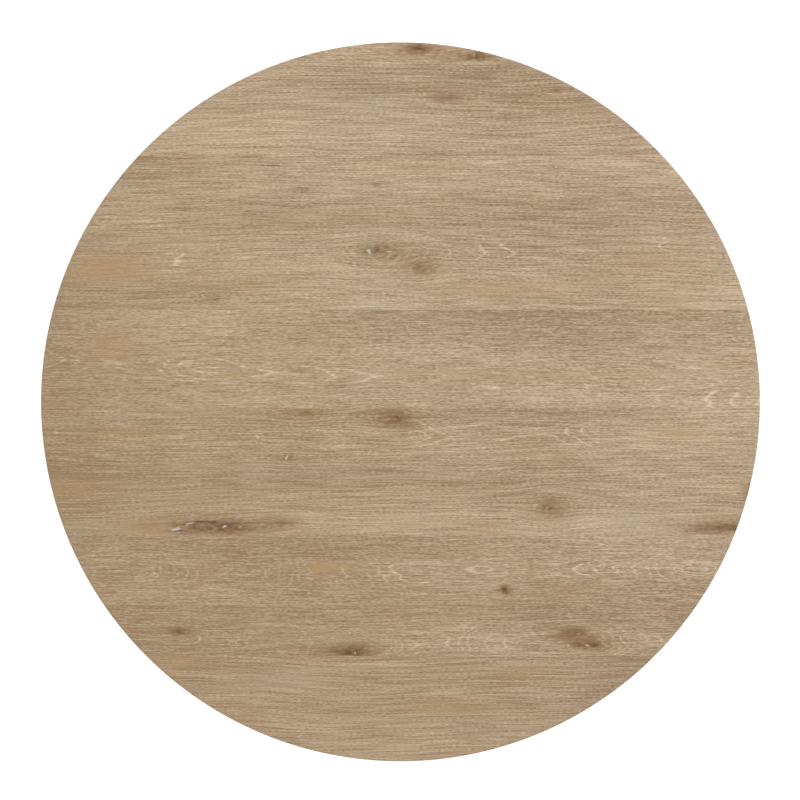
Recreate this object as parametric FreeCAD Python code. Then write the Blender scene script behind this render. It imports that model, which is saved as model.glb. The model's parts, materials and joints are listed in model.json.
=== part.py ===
import FreeCAD, Part
import math
import os
from FreeCAD import Vector

# Round pedestal table, millimetres.
# Frame: origin on the floor under the table's axis, +X along the grain of the top, +Z up.
# The top is sawn oak veneer on a fibreboard core with a solid oak lipping. It lies on two
# half-lapped bearers, on a coopered and turned column, on four shaped feet with screw levellers.

# Driving dimensions
TABLE_HEIGHT = 762.0
TOP_DIAMETER = 1219.0
RIM_THICKNESS = 38.0
RIM_EASING = 2.5            # radius on the rim's upper and lower edges
EASING_BEVELS = 3
FACE_THICKNESS = 1.5        # sawn face veneer
CORE_THICKNESS = 25.0
BACKING_THICKNESS = 1.0
LIPPING_WIDTH = 22.0
LIPPING_COUNT = 8
BUILD_UP_WIDTH = 90.0
BUILD_UP_COUNT = 4
# Joints between the face leaves, as distances from the table's axis, from the far rim to the near
FACE_SEAMS = (577.0, 417.0, 156.0, -11.0, -132.0, -225.0, -344.0, -431.0)

BEARER_LENGTH = 900.0
BEARER_WIDTH = 76.0
BEARER_HEIGHT = 50.0
BEARER_END_HEIGHT = 20.0
BEARER_BEVEL = 60.0
BEARER_EASING = 2.0
TOP_BOLT_REACHES = (150.0, 370.0)

STAVE_COUNT = 8
HUB_ACROSS_FLATS = 172.0
HUB_BOTTOM = 70.0
HUB_TOP = 270.0
HUB_EASING = 4.0
BORE_ACROSS_FLATS = 64.0
TOP_PLUG_HEIGHT = 60.0
BOTTOM_PLUG_HEIGHT = 25.0
COLUMN_DOWEL_REACH = 58.0

FOOT_COUNT = 4
FOOT_WIDTH = 66.0
FOOT_REACH = 404.0
FOOT_TOP = 252.0
FOOT_SOLE = 16.0            # height of the wood above the floor
TOE_HEIGHT = 54.0
FOOT_EASING = 5.0
SOLE_EASING = 3.0
HANGER_HEIGHTS = (110.0, 200.0)
HANGER_DEPTH = 50.0         # length of a hanger bolt in the foot
FOOT_DOWEL_HEIGHTS = (155.0, 230.0)
LEVELLER_REACH = 355.0

SPIDER_THICKNESS = 4.0
SPIDER_ARM_REACH = 160.0
SPIDER_ARM_WIDTH = 44.0
SPIDER_CORNER_RADIUS = 10.0
SPIDER_SCREW_REACHES = (112.0, 144.0)
SCREW_RADIUS = 2.2
SCREW_DEPTH = 26.0
SCREW_HEAD_RADIUS = 4.8
SCREW_HEAD_HEIGHT = 2.6

ROD_RADIUS = 6.0            # M12
ROD_HOLE_RADIUS = 6.5
ROD_NUT_FLATS = 18.0
ROD_NUT_HEIGHT = 10.0
ROD_WASHER_RADIUS = 15.0
ROD_WASHER_THICKNESS = 2.5
ROD_POCKET_RADIUS = 17.0
ROD_POCKET_DEPTH = 14.0
ROD_LOWER_END = 4.0         # rod beyond its lower nut
ROD_UPPER_END = 1.0

BOLT_RADIUS = 4.0           # M8
BOLT_HOLE_RADIUS = 4.5
BOLT_FLATS = 13.0
BOLT_HEAD_HEIGHT = 5.3
NUT_HEIGHT = 6.5
WASHER_RADIUS = 8.0
WASHER_THICKNESS = 1.6
BOLT_POCKET_RADIUS = 11.0
BOLT_POCKET_DEPTH = 15.0
INSERT_RADIUS = 6.5
INSERT_LENGTH = 18.0
INSERT_SPARE = 4.0          # thread left empty above the bolt
NUT_FLANGE_RADIUS = 8.5
NUT_FLANGE_THICKNESS = 1.5
BOLT_END = 2.0              # bolt beyond its nut
COLUMN_DOWEL_RADIUS = 5.0
FOOT_DOWEL_RADIUS = 6.0
DOWEL_DEPTH = 30.0

PAD_RADIUS = 19.0
PAD_HEIGHT = 8.0
STUD_TOP = 49.0
STUD_HEADROOM = 3.0         # hole above the stud when it's screwed right in
HEX_BOTTOM = 9.2
HEX_TOP = 14.2
SWIVEL_RADIUS = 6.0
SWIVEL_BOTTOM = 2.0
SWIVEL_TOP = 5.0
NECK_RADIUS = 3.5
RUNNING_CLEARANCE = 0.05
SLEEVE_RADIUS = 5.5
SLEEVE_LENGTH = 20.0
SLEEVE_FLANGE_RADIUS = 11.0
SLEEVE_FLANGE_THICKNESS = 1.5

# Heights worked out from the driving dimensions
TOP_RADIUS = TOP_DIAMETER / 2
RIM_BOTTOM = TABLE_HEIGHT - RIM_THICKNESS
CORE_TOP = TABLE_HEIGHT - FACE_THICKNESS
CORE_BOTTOM = CORE_TOP - CORE_THICKNESS
CORE_RADIUS = TOP_RADIUS - LIPPING_WIDTH
BEARER_TOP = CORE_BOTTOM - BACKING_THICKNESS
BEARER_BOTTOM = BEARER_TOP - BEARER_HEIGHT
LAP_HEIGHT = BEARER_TOP - BEARER_HEIGHT / 2
BOLT_SEAT = BEARER_BOTTOM + BOLT_POCKET_DEPTH
HUB_REACH = HUB_ACROSS_FLATS / 2
BORE_REACH = BORE_ACROSS_FLATS / 2
SPIDER_BOTTOM = HUB_BOTTOM - SPIDER_THICKNESS
ROD_SEAT = BEARER_TOP - ROD_POCKET_DEPTH


# General shapes

def rod(radius, bottom, top, x=0.0, y=0.0):
    """Upright cylinder between two heights."""
    return Part.makeCylinder(radius, top - bottom, Vector(x, y, bottom))


def ring(outer, inner, bottom, top, x=0.0, y=0.0):
    """Upright cylinder with a round hole through it."""
    return rod(outer, bottom, top, x, y).cut(rod(inner, bottom, top, x, y))


def block(x_range, y_range, z_range):
    """Box between three pairs of limits."""
    size = [high - low for low, high in (x_range, y_range, z_range)]
    return Part.makeBox(*size, Vector(x_range[0], y_range[0], z_range[0]))


def polygon(sides, across_flats, bottom, top, x=0.0, y=0.0):
    """Regular prism with a flat facing +X."""
    radius = across_flats / 2 / math.cos(math.pi / sides)
    corners = []
    for index in range(sides + 1):
        angle = (index + 0.5) * 2 * math.pi / sides
        corners.append(Vector(x + radius * math.cos(angle), y + radius * math.sin(angle), bottom))
    face = Part.Face(Part.makePolygon(corners))
    return face.extrude(Vector(0, 0, top - bottom))


def nut(across_flats, bore, bottom, top, x=0.0, y=0.0):
    """Hexagon nut with a plain bore."""
    return polygon(6, across_flats, bottom, top, x, y).cut(rod(bore, bottom, top, x, y))


def outline(start, *steps):
    """Closed face in the XZ plane. A step is a point, or a list of points that a curve runs through."""
    here = Vector(start[0], 0, start[1])
    edges = []
    for step in steps + (start,):
        curved = isinstance(step, list)
        points = [Vector(px, 0, pz) for px, pz in (step if curved else [step])]
        if curved:
            curve = Part.BSplineCurve()
            curve.interpolate([here] + points)
            edges.append(curve.toShape())
        else:
            edges.append(Part.LineSegment(here, points[0]).toShape())
        here = points[-1]
    return Part.Face(Part.Wire(edges))


def revolved(face):
    return face.revolve(Vector(0, 0, 0), Vector(0, 0, 1), 360)


def about_axis(shape, degrees):
    """Copy turned about the table's axis."""
    copy = shape.copy()
    copy.rotate(Vector(0, 0, 0), Vector(0, 0, 1), degrees)
    return copy


def lying(shape, height):
    """Turn an upright shape on the Z axis to lie along +X at a height."""
    copy = shape.copy()
    copy.rotate(Vector(0, 0, 0), Vector(0, 1, 0), 90)
    copy.translate(Vector(0, 0, height))
    return copy


def sector(radius, bottom, top, degrees):
    """Wedge of a cylinder, centred on +X."""
    wedge = Part.makeCylinder(radius, top - bottom, Vector(0, 0, bottom), Vector(0, 0, 1), degrees)
    return about_axis(wedge, -degrees / 2)


def save(name, shape):
    """Write one node, as one solid or as a group of like solids."""
    solids = shape.removeSplitter().Solids
    whole = solids[0] if len(solids) == 1 else Part.makeCompound(solids)
    if not whole.isValid():
        raise ValueError(name + " is not valid")
    whole.exportStep(os.path.join("parts", name + ".step"))


def save_group(name, shapes):
    save(name, Part.makeCompound(shapes))


# Top

def top_envelope():
    """Whole disc of the top, its edges eased by narrow bevels. One bevel ends at the veneer's joint."""
    inner = TOP_RADIUS - RIM_EASING
    veneer_angle = math.asin(1 - FACE_THICKNESS / RIM_EASING)
    rest = (math.pi / 2 - veneer_angle) / EASING_BEVELS
    angles = [0] + [veneer_angle + rest * index for index in range(EASING_BEVELS + 1)]
    corner = [(inner + RIM_EASING * math.cos(a), RIM_EASING * (math.sin(a) - 1)) for a in angles]
    upper = [(x, TABLE_HEIGHT + drop) for x, drop in corner]
    lower = [(x, RIM_BOTTOM - drop) for x, drop in reversed(corner)]
    return revolved(outline((0, RIM_BOTTOM), *lower, *upper, (0, TABLE_HEIGHT)))


def make_face_leaves(envelope):
    limits = (TOP_RADIUS,) + FACE_SEAMS + (-TOP_RADIUS,)
    for number, (far, near) in enumerate(zip(limits, limits[1:]), start=1):
        strip = block((-TOP_RADIUS, TOP_RADIUS), (near, far), (CORE_TOP, TABLE_HEIGHT))
        save(f"face_leaf_{number}", envelope.common(strip))


def make_edge_lipping(envelope):
    """Sawn segments, butted end to end round the core and as deep as the rim."""
    turn = 360 / LIPPING_COUNT
    band = ring(TOP_RADIUS + 1, CORE_RADIUS, RIM_BOTTOM, CORE_TOP)
    piece = envelope.common(band).common(sector(TOP_RADIUS + 2, RIM_BOTTOM, CORE_TOP, turn))
    for index in range(LIPPING_COUNT):
        save(f"edge_lipping_{index + 1}", about_axis(piece, index * turn))


def make_build_up():
    """Quadrants that thicken the rim below the core."""
    turn = 360 / BUILD_UP_COUNT
    band = ring(CORE_RADIUS, CORE_RADIUS - BUILD_UP_WIDTH, RIM_BOTTOM, CORE_BOTTOM)
    piece = band.common(sector(CORE_RADIUS + 1, RIM_BOTTOM, CORE_BOTTOM, turn))
    for index in range(BUILD_UP_COUNT):
        save(f"rim_build_up_{index + 1}", about_axis(piece, (index + 0.5) * turn))


def top_bolt_places():
    places = []
    for reach in TOP_BOLT_REACHES:
        places += [(reach, 0), (-reach, 0), (0, reach), (0, -reach)]
    return places


def make_core_and_backing():
    core = rod(CORE_RADIUS, CORE_BOTTOM, CORE_TOP)
    backing = rod(CORE_RADIUS - BUILD_UP_WIDTH, BEARER_TOP, CORE_BOTTOM)
    for x, y in top_bolt_places():
        core = core.cut(rod(INSERT_RADIUS, CORE_BOTTOM, CORE_BOTTOM + INSERT_LENGTH, x, y))
        backing = backing.cut(rod(INSERT_RADIUS, BEARER_TOP, CORE_BOTTOM, x, y))
    save("top_core", core)
    save("backing_veneer", backing)


def make_top_fasteners():
    """Bolts up through the bearers into threaded inserts in the core."""
    bolts, washers, inserts = [], [], []
    head_top = BOLT_SEAT - WASHER_THICKNESS
    insert_top = CORE_BOTTOM + INSERT_LENGTH
    for x, y in top_bolt_places():
        head = polygon(6, BOLT_FLATS, head_top - BOLT_HEAD_HEIGHT, head_top, x, y)
        bolts.append(head.fuse(rod(BOLT_RADIUS, head_top, insert_top - INSERT_SPARE, x, y)))
        washers.append(ring(WASHER_RADIUS, BOLT_RADIUS, head_top, BOLT_SEAT, x, y))
        inserts.append(ring(INSERT_RADIUS, BOLT_RADIUS, CORE_BOTTOM, insert_top, x, y))
    save_group("top_bolts", bolts)
    save_group("top_washers", washers)
    save_group("top_inserts", inserts)


# Bearers

def lower_edges(shape, ceiling):
    """Edges that run along a shape's two sides below a height."""
    sides = (shape.BoundBox.YMin, shape.BoundBox.YMax)
    chosen = []
    for edge in shape.Edges:
        box = edge.BoundBox
        on_side = box.YLength < 1e-3 and min(abs(box.YMin - side) for side in sides) < 1e-3
        if on_side and box.ZMax < ceiling and box.XLength > 1:
            chosen.append(edge)
    return chosen


def bearer_blank():
    """Bearer along X with bevelled ends, bolt pockets, dowel holes and the rod hole."""
    half = BEARER_LENGTH / 2
    end_bottom = BEARER_TOP - BEARER_END_HEIGHT
    face = outline(
        (-half, BEARER_TOP), (-half, end_bottom), (BEARER_BEVEL - half, BEARER_BOTTOM),
        (half - BEARER_BEVEL, BEARER_BOTTOM), (half, end_bottom), (half, BEARER_TOP))
    bar = face.extrude(Vector(0, BEARER_WIDTH, 0))
    bar.translate(Vector(0, -BEARER_WIDTH / 2, 0))
    bar = bar.makeChamfer(BEARER_EASING, lower_edges(bar, BEARER_TOP - 1))
    bar = bar.cut(rod(ROD_HOLE_RADIUS, BEARER_BOTTOM, BEARER_TOP))
    for side in (-1, 1):
        for reach in TOP_BOLT_REACHES:
            x = side * reach
            bar = bar.cut(rod(BOLT_HOLE_RADIUS, BEARER_BOTTOM, BEARER_TOP, x))
            bar = bar.cut(rod(BOLT_POCKET_RADIUS, BEARER_BOTTOM, BOLT_SEAT, x))
        x = side * COLUMN_DOWEL_REACH
        bar = bar.cut(rod(COLUMN_DOWEL_RADIUS, BEARER_BOTTOM, BEARER_BOTTOM + DOWEL_DEPTH, x))
    return bar


def make_bearers():
    """Lower and upper bearer, half-lapped where they cross."""
    half = BEARER_WIDTH / 2
    crossing = (-half, half)
    lower = bearer_blank().cut(block(crossing, crossing, (LAP_HEIGHT, BEARER_TOP)))
    upper = bearer_blank().cut(block(crossing, crossing, (BEARER_BOTTOM, LAP_HEIGHT)))
    upper = upper.cut(rod(ROD_POCKET_RADIUS, ROD_SEAT, BEARER_TOP))
    save("bearer_lower", lower)
    save("bearer_upper", about_axis(upper, 90))


# Column

def column_envelope():
    """Octagonal hub with the turned shaft and capital above it."""
    hub = polygon(8, HUB_ACROSS_FLATS, HUB_BOTTOM, HUB_TOP)
    rim = [edge for edge in hub.Edges if edge.BoundBox.ZMin > HUB_TOP - 1]
    hub = hub.makeChamfer(HUB_EASING, rim)
    shaft = outline(
        (0, HUB_TOP), (74, HUB_TOP),
        [(81, 275), (83.5, 283), (81, 291), (74, 296)],
        (70, 296), (70, 301),
        [(76, 322), (79.5, 352), (77, 400), (68.5, 475), (60, 545), (57, 600)],
        (57, 606),
        [(63, 609), (65, 614.5), (63, 620), (57, 623)],
        (57, 627),
        [(59, 640), (66, 652), (78, 659)],
        (83, 659), (83, BEARER_BOTTOM), (0, BEARER_BOTTOM))
    return hub.fuse(revolved(shaft))


def make_column_staves():
    """Eight mitred staves round an octagonal bore. The staves that carry feet are drilled."""
    turn = 360 / STAVE_COUNT
    shaft = column_envelope().cut(polygon(8, BORE_ACROSS_FLATS, HUB_BOTTOM, BEARER_BOTTOM))
    wedge = sector(HUB_ACROSS_FLATS, HUB_BOTTOM, BEARER_BOTTOM, turn)
    plain = shaft.common(wedge)
    drilled = plain
    for height in HANGER_HEIGHTS:
        drilled = drilled.cut(lying(rod(BOLT_HOLE_RADIUS, 0, HUB_REACH), height))
    for height in FOOT_DOWEL_HEIGHTS:
        drilled = drilled.cut(lying(rod(FOOT_DOWEL_RADIUS, HUB_REACH - DOWEL_DEPTH, HUB_REACH), height))
    dowel_bottom = BEARER_BOTTOM - DOWEL_DEPTH
    drilled = drilled.cut(rod(COLUMN_DOWEL_RADIUS, dowel_bottom, BEARER_BOTTOM, COLUMN_DOWEL_REACH))
    for index in range(STAVE_COUNT):
        stave = drilled if index % 2 == 0 else plain
        save(f"column_stave_{index + 1}", about_axis(stave, index * turn))


def make_column_plugs():
    """Octagonal blocks that close the bore and centre the tie rod."""
    top = polygon(8, BORE_ACROSS_FLATS, BEARER_BOTTOM - TOP_PLUG_HEIGHT, BEARER_BOTTOM)
    bottom = polygon(8, BORE_ACROSS_FLATS, HUB_BOTTOM, HUB_BOTTOM + BOTTOM_PLUG_HEIGHT)
    hole = rod(ROD_HOLE_RADIUS, HUB_BOTTOM, BEARER_BOTTOM)
    save("column_plug_top", top.cut(hole))
    save("column_plug_bottom", bottom.cut(hole))


def make_column_dowels():
    low = BEARER_BOTTOM - DOWEL_DEPTH
    high = BEARER_BOTTOM + DOWEL_DEPTH
    dowel = rod(COLUMN_DOWEL_RADIUS, low, high, COLUMN_DOWEL_REACH)
    save_group("column_dowels", [about_axis(dowel, 90 * index) for index in range(4)])


def make_tie_rod():
    """Rod through the whole column, drawn tight on a nut and washer at each end."""
    lower_seat = SPIDER_BOTTOM - ROD_WASHER_THICKNESS
    upper_seat = ROD_SEAT + ROD_WASHER_THICKNESS
    lower_nut = lower_seat - ROD_NUT_HEIGHT
    upper_nut = upper_seat + ROD_NUT_HEIGHT
    save("tie_rod", rod(ROD_RADIUS, lower_nut - ROD_LOWER_END, upper_nut + ROD_UPPER_END))
    save_group("tie_rod_washers", [
        ring(ROD_WASHER_RADIUS, ROD_RADIUS, lower_seat, SPIDER_BOTTOM),
        ring(ROD_WASHER_RADIUS, ROD_RADIUS, ROD_SEAT, upper_seat)])
    save_group("tie_rod_nuts", [
        nut(ROD_NUT_FLATS, ROD_RADIUS, lower_nut, lower_seat),
        nut(ROD_NUT_FLATS, ROD_RADIUS, upper_seat, upper_nut)])


# Feet

def foot_envelope():
    """Cyma foot along +X: tall at the hub, arched under the middle, round in plan at the toe."""
    half = FOOT_WIDTH / 2
    toe_centre = FOOT_REACH - half
    side = outline(
        (HUB_REACH, HUB_BOTTOM), (168, HUB_BOTTOM),
        [(230, 64), (278, 43), (309, FOOT_SOLE)],
        (FOOT_REACH, FOOT_SOLE), (FOOT_REACH, TOE_HEIGHT),
        [(356, 66), (304, 87), (244, 129), (184, 191), (136, 234), (HUB_REACH, FOOT_TOP)])
    foot = side.extrude(Vector(0, FOOT_WIDTH, 0))
    foot.translate(Vector(0, -half, 0))
    heights = (FOOT_SOLE, FOOT_TOP)
    plan = block((HUB_REACH, toe_centre), (-half, half), heights)
    foot = foot.common(plan.fuse(rod(half, *heights, toe_centre)).removeSplitter())
    foot = foot.makeFillet(FOOT_EASING, back_edges(foot))
    return foot.makeFillet(SOLE_EASING, sole_edges(foot))


def back_edges(foot):
    """Edges along the back of the foot and round the top of its toe."""
    chosen = []
    for edge in foot.Edges:
        box = edge.BoundBox
        above_arch = box.ZMin > (FOOT_SOLE + TOE_HEIGHT) / 2
        if above_arch and box.XMax > LEVELLER_REACH and box.XLength > FOOT_EASING:
            chosen.append(edge)
    return chosen


def sole_edges(foot):
    """Edges along the arch under the foot and round its sole."""
    chosen = []
    for edge in foot.Edges:
        box = edge.BoundBox
        under = box.ZMax < HUB_BOTTOM + 1 and box.XLength > 1
        toe_back = box.ZMin > (FOOT_SOLE + TOE_HEIGHT) / 2 and box.XMax > LEVELLER_REACH
        if under and not toe_back:
            chosen.append(edge)
    return chosen


def make_feet():
    foot = foot_envelope()
    reach = HUB_REACH + HANGER_DEPTH
    for height in HANGER_HEIGHTS:
        foot = foot.cut(lying(rod(BOLT_RADIUS, HUB_REACH, reach), height))
    for height in FOOT_DOWEL_HEIGHTS:
        foot = foot.cut(lying(rod(FOOT_DOWEL_RADIUS, HUB_REACH, HUB_REACH + DOWEL_DEPTH), height))
    for x in SPIDER_SCREW_REACHES:
        foot = foot.cut(rod(SCREW_RADIUS, HUB_BOTTOM, HUB_BOTTOM + SCREW_DEPTH, x))
    sleeve_top = FOOT_SOLE + SLEEVE_LENGTH
    foot = foot.cut(rod(SLEEVE_RADIUS, FOOT_SOLE, sleeve_top, LEVELLER_REACH))
    foot = foot.cut(rod(BOLT_HOLE_RADIUS, sleeve_top, STUD_TOP + STUD_HEADROOM, LEVELLER_REACH))
    for index in range(FOOT_COUNT):
        save(f"foot_{index + 1}", about_axis(foot, 90 * index))


def around_feet(shapes):
    """Copies of one foot's fasteners for every foot."""
    return [about_axis(shape, 90 * index) for index in range(FOOT_COUNT) for shape in shapes]


def make_foot_fasteners():
    """Hanger bolts drawn up inside the bore, with flange nuts, and plain dowels beside them."""
    flange = BORE_REACH - NUT_FLANGE_THICKNESS
    inner = flange - NUT_HEIGHT
    bolts, nuts = [], []
    for height in HANGER_HEIGHTS:
        bolts.append(lying(rod(BOLT_RADIUS, inner - BOLT_END, HUB_REACH + HANGER_DEPTH), height))
        body = nut(BOLT_FLATS, BOLT_RADIUS, inner, flange)
        skirt = ring(NUT_FLANGE_RADIUS, BOLT_RADIUS, flange, BORE_REACH)
        nuts.append(lying(body.fuse(skirt), height))
    dowels = []
    for height in FOOT_DOWEL_HEIGHTS:
        dowel = rod(FOOT_DOWEL_RADIUS, HUB_REACH - DOWEL_DEPTH, HUB_REACH + DOWEL_DEPTH)
        dowels.append(lying(dowel, height))
    save_group("hanger_bolts", around_feet(bolts))
    save_group("hanger_nuts", around_feet(nuts))
    save_group("foot_dowels", around_feet(dowels))


def make_spider():
    """Cross-shaped steel plate under the hub, screwed up into the feet."""
    arm = block((-SPIDER_ARM_REACH, SPIDER_ARM_REACH),
                (-SPIDER_ARM_WIDTH / 2, SPIDER_ARM_WIDTH / 2), (SPIDER_BOTTOM, HUB_BOTTOM))
    ends = [edge for edge in arm.Edges if edge.BoundBox.ZLength > SPIDER_THICKNESS / 2]
    arm = arm.makeFillet(SPIDER_CORNER_RADIUS, ends)
    plate = arm.fuse(about_axis(arm, 90)).removeSplitter()
    plate = plate.cut(rod(ROD_HOLE_RADIUS, SPIDER_BOTTOM, HUB_BOTTOM))
    screws = []
    for x in SPIDER_SCREW_REACHES:
        origin = Vector(x, 0, SPIDER_BOTTOM)
        head = Part.makeCone(SCREW_HEAD_RADIUS, SCREW_RADIUS, SCREW_HEAD_HEIGHT, origin)
        neck = SPIDER_BOTTOM + SCREW_HEAD_HEIGHT
        screws.append(head.fuse(rod(SCREW_RADIUS, neck, HUB_BOTTOM + SCREW_DEPTH, x)))
        for hole in around_feet([head.fuse(rod(SCREW_RADIUS, neck, HUB_BOTTOM, x))]):
            plate = plate.cut(hole)
    save("spider_plate", plate)
    save_group("spider_screws", around_feet(screws))


# Levellers

def make_leveller_sleeves():
    """Flanged steel sleeves pressed into the feet, tapped for the studs."""
    bore = BOLT_RADIUS + RUNNING_CLEARANCE
    flange_bottom = FOOT_SOLE - SLEEVE_FLANGE_THICKNESS
    sleeve_top = FOOT_SOLE + SLEEVE_LENGTH
    flange = ring(SLEEVE_FLANGE_RADIUS, bore, flange_bottom, FOOT_SOLE, LEVELLER_REACH)
    sleeve = flange.fuse(ring(SLEEVE_RADIUS, bore, FOOT_SOLE, sleeve_top, LEVELLER_REACH))
    save_group("leveller_sleeves", around_feet([sleeve]))


def leveller_pad():
    """Moulded pad that rests on the floor, with a pocket for the stud's swivel end."""
    pocket = SWIVEL_RADIUS + RUNNING_CLEARANCE
    throat = NECK_RADIUS + RUNNING_CLEARANCE
    floor = SWIVEL_BOTTOM - RUNNING_CLEARANCE
    roof = SWIVEL_TOP + RUNNING_CLEARANCE
    return revolved(outline(
        (0, 0), (PAD_RADIUS - 1, 0), (PAD_RADIUS, 1), (PAD_RADIUS, 4.5), (14.5, PAD_HEIGHT),
        (throat, PAD_HEIGHT), (throat, roof), (pocket, roof), (pocket, floor), (0, floor)))


def leveller_stud():
    """Screw with a swivel end in the pad, a hexagon for the spanner and an M8 shank."""
    swivel = rod(SWIVEL_RADIUS, SWIVEL_BOTTOM, SWIVEL_TOP)
    neck = rod(NECK_RADIUS, SWIVEL_TOP, HEX_BOTTOM)
    hexagon = polygon(6, BOLT_FLATS, HEX_BOTTOM, HEX_TOP)
    shank = rod(BOLT_RADIUS, HEX_TOP, STUD_TOP - 1)
    tip = Part.makeCone(BOLT_RADIUS, BOLT_RADIUS - 1, 1, Vector(0, 0, STUD_TOP - 1))
    return swivel.fuse([neck, hexagon, shank, tip])


def make_levellers():
    for kind, piece in (("pad", leveller_pad()), ("stud", leveller_stud())):
        piece.translate(Vector(LEVELLER_REACH, 0, 0))
        for index in range(FOOT_COUNT):
            save(f"leveller_{kind}_{index + 1}", about_axis(piece, 90 * index))


def main():
    os.makedirs("parts", exist_ok=True)
    envelope = top_envelope()
    make_face_leaves(envelope)
    make_edge_lipping(envelope)
    make_build_up()
    make_core_and_backing()
    make_top_fasteners()
    make_bearers()
    make_column_staves()
    make_column_plugs()
    make_column_dowels()
    make_tie_rod()
    make_feet()
    make_foot_fasteners()
    make_spider()
    make_leveller_sleeves()
    make_levellers()


main()
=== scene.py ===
import json
import math
from collections import namedtuple

import bmesh
import bpy
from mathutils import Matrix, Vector


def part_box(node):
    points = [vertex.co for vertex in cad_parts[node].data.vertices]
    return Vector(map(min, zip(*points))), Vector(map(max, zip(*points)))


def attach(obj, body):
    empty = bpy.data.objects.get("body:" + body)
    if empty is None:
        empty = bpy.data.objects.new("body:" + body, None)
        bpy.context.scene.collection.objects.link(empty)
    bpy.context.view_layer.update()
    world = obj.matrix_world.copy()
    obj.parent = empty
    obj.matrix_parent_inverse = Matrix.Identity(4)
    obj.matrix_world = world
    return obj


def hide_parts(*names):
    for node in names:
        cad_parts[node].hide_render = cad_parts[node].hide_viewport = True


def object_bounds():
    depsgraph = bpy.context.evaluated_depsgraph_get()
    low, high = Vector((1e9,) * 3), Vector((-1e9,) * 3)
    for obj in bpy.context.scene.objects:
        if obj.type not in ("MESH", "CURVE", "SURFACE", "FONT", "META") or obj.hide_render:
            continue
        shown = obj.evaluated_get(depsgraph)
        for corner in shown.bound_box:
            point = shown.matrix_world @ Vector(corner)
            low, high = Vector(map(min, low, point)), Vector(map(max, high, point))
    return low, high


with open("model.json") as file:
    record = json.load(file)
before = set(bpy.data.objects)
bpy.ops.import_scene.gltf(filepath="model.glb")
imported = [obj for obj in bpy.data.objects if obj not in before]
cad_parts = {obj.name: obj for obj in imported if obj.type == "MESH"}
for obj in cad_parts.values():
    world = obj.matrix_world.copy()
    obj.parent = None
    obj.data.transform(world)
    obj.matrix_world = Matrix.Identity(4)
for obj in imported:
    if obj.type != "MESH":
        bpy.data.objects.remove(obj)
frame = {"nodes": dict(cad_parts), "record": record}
cad_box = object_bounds()
nodes = frame["nodes"]
low, high = cad_box
TOP_HEIGHT = high[2]
TOP_RADIUS = (high[0] - low[0]) / 2


# Fields: numbers that vary over a surface, worked out by shader nodes

NOISE_GAIN = 7.0             # brings Blender's noise to a spread near one
OAK_RELIEF = 0.00022         # depth of the brushed grain


class Field:
    """The output of a shader node. Arithmetic on it makes Math nodes."""

    def __init__(self, net, socket):
        self.net = net
        self.socket = socket

    def __add__(self, other):
        return self.net.math("ADD", self, other)

    def __sub__(self, other):
        return self.net.math("SUBTRACT", self, other)

    def __rsub__(self, other):
        return self.net.math("SUBTRACT", other, self)

    def __mul__(self, other):
        return self.net.math("MULTIPLY", self, other)

    __radd__ = __add__
    __rmul__ = __mul__


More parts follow.
